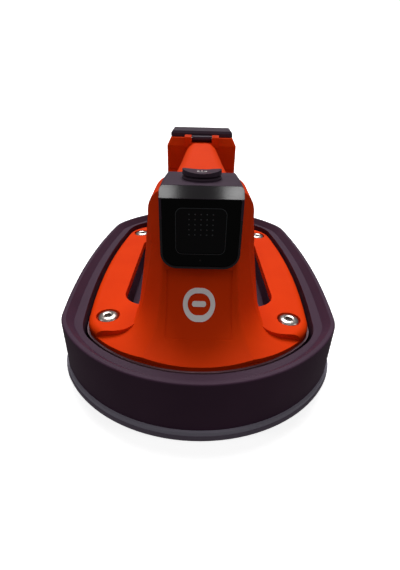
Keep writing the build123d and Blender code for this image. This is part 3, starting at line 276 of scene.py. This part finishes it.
BRONZE_BUSH = Finish("sintered bronze", "bronze_bush", "7d5a34", "946c40", 0.5, Surface.CELLS,
                     grain_mm=0.4, relief_mm=0.02, metallic=1.0)
CONTACT_GOLD = Finish("gold plated contact", "contact_gold", "c79d48", "dcb35c", 0.2, Surface.POLISHED,
                      grain_mm=3.0, relief_mm=0.004, metallic=1.0)
MAGNET_BLACK = Finish("pressed ferrite", "magnet_black", "17171a", "222226", 0.6, Surface.CELLS,
                      grain_mm=0.5, relief_mm=0.02)
BOARD_GREEN = Finish("solder mask on glass fibre", "board_green", "0b3a22", "0f4a2c", 0.3, Surface.WOVEN,
                     grain_mm=0.6, relief_mm=0.01)
LED_WHITE = Finish("diffused LED lens", "led_white", "b6b3b4", "cac7c8", 0.35, Surface.POLISHED,
                   grain_mm=4.0, relief_mm=0.004)
BADGE_WHITE = Finish("white ABS, polished", "badge_white", "f2ecea", "ffffff", 0.25, Surface.POLISHED,
                     grain_mm=6.0, relief_mm=0.006, coat=0.3)
COIL_COPPER = Finish("taped copper winding", "coil_copper", "8a4422", "a85830", 0.4, Surface.DRAWN,
                     grain_mm=0.5, relief_mm=0.03)
HOSE_GREY = Finish("soft PVC hose", "hose_clear", "7e807d", "90928f", 0.35, Surface.POLISHED, grain_mm=5.0,
                   relief_mm=0.01)
FILTER_WHITE = Finish("polyester felt", "filter_white", "cbcac6", "d8d7d2", 0.9, Surface.WOVEN,
                      grain_mm=0.5, relief_mm=0.08)
TAB_WHITE = Finish("woven ribbon", "tab_white", "bcbab5", "cac8c3", 0.8, Surface.WOVEN, grain_mm=0.5,
                   relief_mm=0.05)
LEAD_RED = Finish("red silicone lead", "lead_red", "6a0908", "7d0d0b", 0.4, grain_mm=1.0, relief_mm=0.01)
LEAD_BLACK = Finish("black silicone lead", "lead_black", "070707", "0d0d0d", 0.4, grain_mm=1.0,
                    relief_mm=0.01)


class Paintbox:
    """Makes each finish once and puts it on nodes and pieces."""

    def __init__(self) -> None:
        """Starts with no materials made."""
        self.made: dict[str, bpy.types.Material] = {}

    def material(self, finish: Finish) -> bpy.types.Material:
        """Returns the material of a finish, making it the first time."""
        if finish.name not in self.made:
            self.made[finish.name] = finish.make()
        return self.made[finish.name]

    def dress(self, finish: Finish, *names: str) -> None:
        """Gives CAD nodes a finish.

        Args:
            finish: what the nodes are made of.
            names: CAD node names.
        """
        for name in names:
            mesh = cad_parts[name].data
            mesh.materials.clear()
            mesh.materials.append(self.material(finish))
            log.info("%s: %s", name, finish.name)

    def place(self, piece: bpy.types.Object, finish: Finish, body: str, *replaced: str) -> bpy.types.Object:
        """Gives a new piece its finish and its body.

        Args:
            piece: the new object.
            finish: what it is made of.
            body: the CAD body that carries it.
            replaced: CAD nodes that it stands for.

        Returns:
            The same piece.
        """
        piece.data.materials.append(self.material(finish))
        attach(piece, body)
        if replaced:
            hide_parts(*replaced)
        log.info("%s: %s, on %s", piece.name, finish.name, body)
        return piece


# ------------------------------------------------------------------ the lifter's sub-assemblies
@dataclass
class LiftingBase:
    """Foam seal, its carrier, the tray and what is screwed to it."""

    paint: Paintbox

    def build(self) -> None:
        """Dresses the base."""
        self.paint.dress(FOAM_GREY, "foam_seal")
        self.paint.dress(CARRIER_GREY, "seal_carrier")
        self.paint.dress(TRAY_PLUM, "base_tray")
        self.paint.dress(GASKET_GREY, "flange_gasket")
        self.paint.dress(PLATE_BLACK, "base_plate", "inlet_grille")
        self.paint.dress(SCREW_STEEL, "base_plate_screws")
        self.paint.dress(INSERT_BRASS, "threaded_inserts")
        self.paint.dress(FILTER_WHITE, "inlet_filter")
        self.paint.dress(PUMP_GREY, "inlet_fitting")


@dataclass
class FlangeScrews:
    """Four button head screws with a hex socket."""

    paint: Paintbox
    head_radius: float = 6.6 * MM
    head_height: float = 3.2 * MM
    socket_radius: float = 2.55 * MM
    socket_depth: float = 1.9 * MM
    shank_radius: float = 3.0 * MM
    segments: int = 40

    def screw(self, bm: bmesh.types.BMesh, x: float, y: float, seat: float, foot: float) -> None:
        """Adds one screw.

        Args:
            bm: the mesh that gets the screw.
            x: centre along X.
            y: centre along Y.
            seat: height of the underside of the head.
            foot: height of the lower end of the shank.
        """
        r, h = self.head_radius, self.head_height
        rim = self.socket_radius * 1.22
        profile = [(0.0, foot), (self.shank_radius, foot), (self.shank_radius, seat), (r, seat),
                   (r, seat + 0.42 * h), (0.95 * r, seat + 0.62 * h), (0.83 * r, seat + 0.82 * h),
                   (0.66 * r, seat + 0.95 * h), (rim + 0.3 * MM, seat + h), (rim, seat + h - 0.15 * MM)]
        verts = [bm.verts.new((x + px, y, pz)) for px, pz in profile]
        edges = [bm.edges.new(pair) for pair in zip(verts, verts[1:])]
        bmesh.ops.spin(bm, geom=verts + edges, cent=(x, y, 0), axis=(0, 0, 1), angle=math.tau,
                       steps=self.segments, use_merge=True)
        top = seat + h - 0.15 * MM
        hexagon = bmesh.ops.create_circle(bm, cap_ends=False, segments=6, radius=self.socket_radius,
                                          matrix=Matrix.Translation((x, y, top - 0.12 * MM)))["verts"]
        hex_edges = list({e for v in hexagon for e in v.link_edges})
        rim_edges = [e for e in bm.edges if e.is_boundary and e not in hex_edges
                     and all(abs(v.co.z - top) < 1e-6 and (v.co.xy - Vector((x, y))).length < rim * 1.02
                             for v in e.verts)]
        bmesh.ops.bridge_loops(bm, edges=hex_edges + rim_edges)
        walls = bmesh.ops.extrude_edge_only(bm, edges=hex_edges)
        low = [v for v in walls["geom"] if isinstance(v, bmesh.types.BMVert)]
        bmesh.ops.translate(bm, verts=low, vec=(0, 0, -self.socket_depth))
        bmesh.ops.contextual_create(bm, geom=low)

    def build(self) -> None:
        """Builds all four screws where the CAD has them."""
        low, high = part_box("flange_screws")
        bm = bmesh.new()
        for x in (low.x + self.head_radius, high.x - self.head_radius):
            for y in (low.y + self.head_radius, high.y - self.head_radius):
                self.screw(bm, x, y, high.z - self.head_height, low.z)
        bmesh.ops.remove_doubles(bm, verts=bm.verts, dist=1e-6)
        self.paint.place(mesh_object("button_head_screws", bm, 28.0), SCREW_STEEL, "housing", "flange_screws")


@dataclass
class Housing:
    """The orange shells, the strip under the handle and the mark on the front."""

    paint: Paintbox

    def build(self) -> None:
        """Dresses the shells and builds the flange screws."""
        self.paint.dress(SHELL_ORANGE, "lower_housing", "upper_housing")
        self.paint.dress(GRIP_RUBBER, "grip_strip")
        self.paint.dress(SCREW_STEEL, "shell_screws")
        self.paint.dress(BADGE_WHITE, "front_badge")
        FlangeScrews(self.paint).build()


@dataclass
class DisplayHead:
    """The plum head, its lens, the smoked window with a line of painted highlight along its edge, and the
    dots.
    """

    paint: Paintbox
    outline: float = 0.3 * MM
    outline_proud: float = 0.08 * MM
    outline_corner: float = 3.8 * MM
    outline_steps: int = 10
    dots_each_way: int = 5
    dot_radius: float = 0.42 * MM
    dot_proud: float = 0.06 * MM
    dot_taper: float = 0.8
    dot_inset: float = 0.8 * MM
    dot_segments: int = 14
    cap_corner: float = 2.6 * MM
    cap_turn: float = 70.0
    cap_steps: int = 8
    band_rise: float = 6.0 * MM
    band_run: float = 4.6 * MM
    band_inset: float = 0.15 * MM
    band_proud: float = 0.05 * MM

    def window_edge_highlight(self) -> None:
        """Builds a thin grey line along the window's real edge: painted highlight where that edge catches
        light.
        """
        low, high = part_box("display_window")
        lens_low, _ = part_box("display_lens")
        bm = bmesh.new()
        size = high - low
        face = slab(bm, size.x + self.outline, size.z + self.outline, self.outline_corner,
                    self.outline_steps)
        inner = bmesh.ops.inset_region(bm, faces=face, thickness=self.outline, use_boundary=True,
                                       use_even_offset=True)
        centre = [f for f in bm.faces if f not in inner["faces"]]
        bmesh.ops.delete(bm, geom=centre, context="FACES")
        bmesh.ops.solidify(bm, geom=bm.faces[:], thickness=self.outline_proud)
        bmesh.ops.rotate(bm, verts=bm.verts, cent=(0, 0, 0), matrix=Matrix.Rotation(math.pi / 2, 3, "X"))
        middle = (low + high) / 2
        bmesh.ops.translate(bm, verts=bm.verts,
                            vec=(middle.x, lens_low.y - self.outline_proud / 2, middle.z))
        self.paint.place(mesh_object("window_edge_highlight", bm), PUMP_GREY, "housing")

    def gloss_band(self) -> None:
        """Builds the polished skin on the slanted face over the lens, in plum darkened as painted shade."""
        low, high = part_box("head_cap")
        half, corner, steps = (high.x - low.x) / 2, self.cap_corner, self.cap_steps
        foot = high.z - self.band_rise + self.band_inset
        arc = [(half - corner + corner * math.cos(a), high.z - corner + corner * math.sin(a))
               for a in (math.radians(self.cap_turn * i / steps) for i in range(steps + 1))]
        right = [(half, foot), *arc]
        inset = [(x - self.band_inset, z) for x, z in right]
        outline = inset + [(-x, z) for x, z in reversed(inset)]
        normal = Vector((0, -self.band_rise, self.band_run)).normalized()
        bm = bmesh.new()
        verts = [bm.verts.new((x, low.y + (z - high.z + self.band_rise) * self.band_run / self.band_rise, z))
                 for x, z in outline]
        face = bm.faces.new(verts)
        top = bmesh.ops.extrude_face_region(bm, geom=[face])
        bmesh.ops.translate(bm, verts=[v for v in top["geom"] if isinstance(v, bmesh.types.BMVert)],
                            vec=normal * self.band_proud)
        self.paint.place(mesh_object("gloss_band", bm), HEAD_GLOSS_PAINTED_SHADE, "housing")

    def dots(self) -> None:
        """Builds the dot pattern as it shows through the window."""
        low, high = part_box("led_matrix")
        window_low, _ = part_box("display_window")
        bm = bmesh.new()
        pitch_x = (high.x - low.x - 2 * self.dot_inset) / (self.dots_each_way - 1)
        pitch_z = (high.z - low.z - 2 * self.dot_inset) / (self.dots_each_way - 1)
        for i in range(self.dots_each_way):
            for j in range(self.dots_each_way):
                place = Matrix.Translation((low.x + self.dot_inset + i * pitch_x,
                                            window_low.y - self.dot_proud / 2,
                                            low.z + self.dot_inset + j * pitch_z))
                bmesh.ops.create_cone(bm, cap_ends=True, segments=self.dot_segments, radius1=self.dot_radius,
                                      radius2=self.dot_radius * self.dot_taper, depth=self.dot_proud,
                                      matrix=place @ Matrix.Rotation(math.pi / 2, 4, "X"))
        self.paint.place(mesh_object("window_dots", bm), PUMP_GREY, "housing")

    def build(self) -> None:
        """Dresses the head and builds its fine pieces."""
        self.paint.dress(HEAD_PLUM, "head_cap")
        # The bezel gets the darkened gloss plum: painted shade.
        self.paint.dress(HEAD_GLOSS_PAINTED_SHADE, "display_bezel")
        self.paint.dress(LENS_BLACK, "display_lens")
        self.paint.dress(WINDOW_SMOKE, "display_window")
        self.paint.dress(BOARD_GREEN, "display_board")
        self.paint.dress(LED_WHITE, "led_matrix")
        self.paint.dress(CHIP_BLACK, "status_led")
        self.gloss_band()
        self.window_edge_highlight()
        self.dots()


@dataclass
class PowerButton:
    """Saddle topped push button, its collar and its symbol."""

    paint: Paintbox
    dip: float = 1.6 * MM
    symbol_radius: float = 2.9 * MM
    line: float = 0.75 * MM
    proud: float = 0.07 * MM
    gap_angle: float = math.radians(70)
    ring_steps: int = 36
    bar_length: float = 3.19 * MM
    bar_middle: float = 2.088 * MM
    tilt: float = math.radians(4.6)

    def symbol(self) -> None:
        """Builds the printed power symbol, an open ring and a bar, on the saddle."""
        low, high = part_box("power_button")
        centre = (low + high) / 2
        radius = (high.x - low.x) / 2
        saddle = (radius ** 2 + self.dip ** 2) / (2 * self.dip)
        bm = bmesh.new()
        start = math.pi / 2 + self.gap_angle / 2
        inner, outer = self.symbol_radius - self.line, self.symbol_radius
        ends = [bm.verts.new((r * math.cos(start), r * math.sin(start), 0)) for r in (inner, outer)]
        edge = bm.edges.new(ends)
        bmesh.ops.spin(bm, geom=ends + [edge], cent=(0, 0, 0), axis=(0, 0, 1),
                       angle=math.tau - self.gap_angle, steps=self.ring_steps)
        bar = bmesh.ops.create_grid(bm, x_segments=2, y_segments=6, size=0.5)["verts"]
        bmesh.ops.scale(bm, vec=(self.line, self.bar_length, 1), verts=bar)
        bmesh.ops.translate(bm, vec=(0, self.bar_middle, 0), verts=bar)
        bmesh.ops.recalc_face_normals(bm, faces=bm.faces)
        bmesh.ops.solidify(bm, geom=bm.faces[:], thickness=2 * self.proud)
        for vert in bm.verts:
            lift = saddle - math.sqrt(saddle ** 2 - vert.co.x ** 2) - vert.co.y * math.tan(self.tilt)
            vert.co += Vector((centre.x, centre.y, high.z - self.dip + lift))
        self.paint.place(mesh_object("power_symbol", bm), BADGE_WHITE, "button")

    def build(self) -> None:
        """Dresses the button and builds its symbol."""
        self.paint.dress(HEAD_PLUM, "button_collar", "power_button")
        self.paint.dress(SPRING_STEEL, "button_spring")
        self.paint.dress(CHIP_BLACK, "power_switch")
        self.symbol()


@dataclass
class PumpRoom:
    """Everything inside the front tower."""

    paint: Paintbox

    def build(self) -> None:
        """Dresses the pump, the valve and the control board."""
        self.paint.dress(BOARD_GREEN, "control_board")
        self.paint.dress(CHIP_BLACK, "controller_chips", "buzzer", "vacuum_sensor")
        self.paint.dress(MOTOR_STEEL, "motor_can", "motor_end_bell", "valve_plunger")
        self.paint.dress(BRONZE_BUSH, "motor_bushes")
        self.paint.dress(MAGNET_BLACK, "motor_magnets")
        self.paint.dress(ROTOR_STEEL, "motor_rotor")
        self.paint.dress(PUMP_GREY, "pump_case", "pump_cover")
        self.paint.dress(GRIP_RUBBER, "pump_diaphragm", "pump_mounts", "valve_seat")
        self.paint.dress(HOSE_GREY, "suction_hose")
        self.paint.dress(PLATE_BLACK, "exhaust_muffler")
        self.paint.dress(VALVE_BLUE, "valve_body")
        self.paint.dress(COIL_COPPER, "valve_coil")
        self.paint.dress(SPRING_STEEL, "valve_spring")


@dataclass
class BatteryBay:
    """Battery pack, its contacts and leads, and the hinged lid."""

    paint: Paintbox

    def build(self) -> None:
        """Dresses the bay and the lid."""
        self.paint.dress(BATTERY_BLACK, "battery_case")
        self.paint.dress(CELL_GREEN, "battery_cells")
        self.paint.dress(CONTACT_GOLD, "battery_contacts")
        self.paint.dress(TAB_WHITE, "battery_pull_tab")
        self.paint.dress(PLATE_BLACK, "terminal_block")
        self.paint.dress(PUMP_GREY, "battery_shelf")
        self.paint.dress(LEAD_RED, "battery_lead_positive")
        self.paint.dress(LEAD_BLACK, "battery_lead_negative")
        self.paint.dress(HEAD_PLUM, "battery_lid")
        self.paint.dress(SCREW_STEEL, "hinge_pin")
        self.paint.dress(GRIP_RUBBER, "lid_gasket")


# ------------------------------------------------------------------ studio
@dataclass(frozen=True)
class SoftBox:
    """One area light: where it is, what it faces, its size and its power."""

    name: str
    place: tuple[float, float, float]
    target: tuple[float, float, float]
    size: tuple[float, float]
    watts: float

    def hang(self) -> None:
        """Adds the light to the scene."""
        data = bpy.data.lights.new(self.name, "AREA")
        data.shape = "RECTANGLE"
        data.size, data.size_y = self.size
        data.energy = self.watts
        lamp = bpy.data.objects.new(self.name, data)
        lamp.location = self.place
        lamp.rotation_mode = "QUATERNION"
        lamp.rotation_quaternion = (Vector(self.target) - Vector(self.place)).to_track_quat("-Z", "Y")
        bpy.context.scene.collection.objects.link(lamp)


@dataclass
class Studio:
    """Pale floor, soft lights from above, behind and both sides, and the camera."""

    eye: tuple[float, float, float] = (-0.0015, -0.2612, 0.1609)
    pitch: float = 0.508
    yaw: float = 0.010
    roll: float = 0.026
    lens_mm: float = 22.21
    lights: tuple[SoftBox, ...] = field(default_factory=lambda: (
        SoftBox("band_left", (-0.12, -0.57, 0.985), (0.0, -0.078, 0.114), (0.07, 0.06), 0.12),
        SoftBox("band_right", (0.12, -0.57, 0.985), (0.0, -0.078, 0.114), (0.07, 0.06), 0.12),
        SoftBox("left_strip", (-1.3, -0.3, 0.7), (0.0, 0.0, 0.05), (0.25, 1.2), 2.0),
        SoftBox("right_strip", (1.3, -0.3, 0.7), (0.0, 0.0, 0.05), (0.25, 1.2), 2.0),
    ))
    sky_from: tuple[float, float, float] = (0.0, 0.6, 1.0)
    sky_spread: float = math.radians(34)
    sky_power: float = 2.7
    room_low: float = 0.14
    room_high: float = 0.27
    sheet_half: float = 15.0
    floor_glow: float = 0.7
    floor_gap: float = 0.2 * MM
    backdrop_glow: float = 1.0
    backdrop_far: float = 14.0

    def sheet(self, name: str, place: Matrix, glow: float) -> None:
        """Lays or hangs one large pale sheet that doesn't light the object.

        Args:
            name: the sheet's name.
            place: where it is and which way it faces.
            glow: light that it gives off by itself.
        """
        bm = bmesh.new()
        bmesh.ops.create_grid(bm, x_segments=1, y_segments=1, size=self.sheet_half, matrix=place)
        sheet = mesh_object(name, bm)
        material = bpy.data.materials.new(f"pale {name}")
        material.use_nodes = True
        shader = material.node_tree.nodes["Principled BSDF"]
        shader.inputs["Base Color"].default_value = srgb("f4f4f4")
        shader.inputs["Roughness"].default_value = 0.9
        shader.inputs["Specular IOR Level"].default_value = 0.1
        shader.inputs["Emission Color"].default_value = srgb("ffffff")
        shader.inputs["Emission Strength"].default_value = glow
        sheet.data.materials.append(material)
        sheet.visible_diffuse = False
        sheet.visible_glossy = False
        sheet.visible_shadow = False

    def daylight(self) -> None:
        """Hangs one very wide, far light above and behind, so that the floor is even right to the horizon."""
        data = bpy.data.lights.new("ceiling", "SUN")
        data.energy = self.sky_power
        data.angle = self.sky_spread
        lamp = bpy.data.objects.new("ceiling", data)
        lamp.rotation_mode = "QUATERNION"
        lamp.rotation_quaternion = (-Vector(self.sky_from)).to_track_quat("-Z", "Y")
        bpy.context.scene.collection.objects.link(lamp)

    def sky(self) -> None:
        """Sets a dim room that is brighter overhead than at eye level."""
        world = bpy.data.worlds.new("studio room")
        bpy.context.scene.world = world
        world.use_nodes = True
        tree = world.node_tree
        tree.nodes.clear()
        way = add_node(tree, "ShaderNodeTexCoord").outputs["Generated"]
        split = add_node(tree, "ShaderNodeSeparateXYZ", links={"Vector": way})
        strength = add_node(tree, "ShaderNodeMapRange",
                            {"From Min": 0.0, "From Max": 0.9, "To Min": self.room_low,
                             "To Max": self.room_high},
                            {"Value": split.outputs["Z"]}, interpolation_type="SMOOTHSTEP")
        back = add_node(tree, "ShaderNodeBackground", {"Color": (1, 1, 1, 1)},
                        {"Strength": strength.outputs["Result"]})
        add_node(tree, "ShaderNodeOutputWorld", links={"Surface": back.outputs["Background"]})

    def camera(self) -> None:
        """Stands the camera in front of and above the display end."""
        ahead = Vector((math.sin(self.yaw) * math.cos(self.pitch), math.cos(self.yaw) * math.cos(self.pitch),
                        -math.sin(self.pitch)))
        level = ahead.cross(Vector((0, 0, 1))).normalized()
        upright = level.cross(ahead)
        right = math.cos(self.roll) * level + math.sin(self.roll) * upright
        up = right.cross(ahead)
        data = bpy.data.cameras.new("camera")
        data.lens = self.lens_mm
        eye = bpy.data.objects.new("camera", data)
        turn = Matrix((right, up, -ahead)).transposed().to_4x4()
        eye.matrix_world = Matrix.Translation(self.eye) @ turn
        bpy.context.scene.collection.objects.link(eye)
        bpy.context.scene.camera = eye

    def build(self) -> None:
        """Sets up the studio."""
        bpy.context.scene.view_settings.view_transform = "Standard"
        self.sheet("floor", Matrix.Translation((0, 0, -self.floor_gap)), self.floor_glow)
        upright = Matrix.Rotation(math.pi / 2, 4, "X")
        self.sheet("backdrop", Matrix.Translation((0, self.backdrop_far, 0)) @ upright, self.backdrop_glow)
        self.daylight()
        self.sky()
        for light in self.lights:
            light.hang()
        self.camera()


def main() -> None:
    """Builds the studio and then every sub-assembly in order."""
    logging.basicConfig(level=logging.INFO, format="%(message)s")
    paint = Paintbox()
    Studio().build()
    for part in (LiftingBase, Housing, DisplayHead, PowerButton, PumpRoom, BatteryBay):
        part(paint).build()


if __name__ == "__main__":
    main()
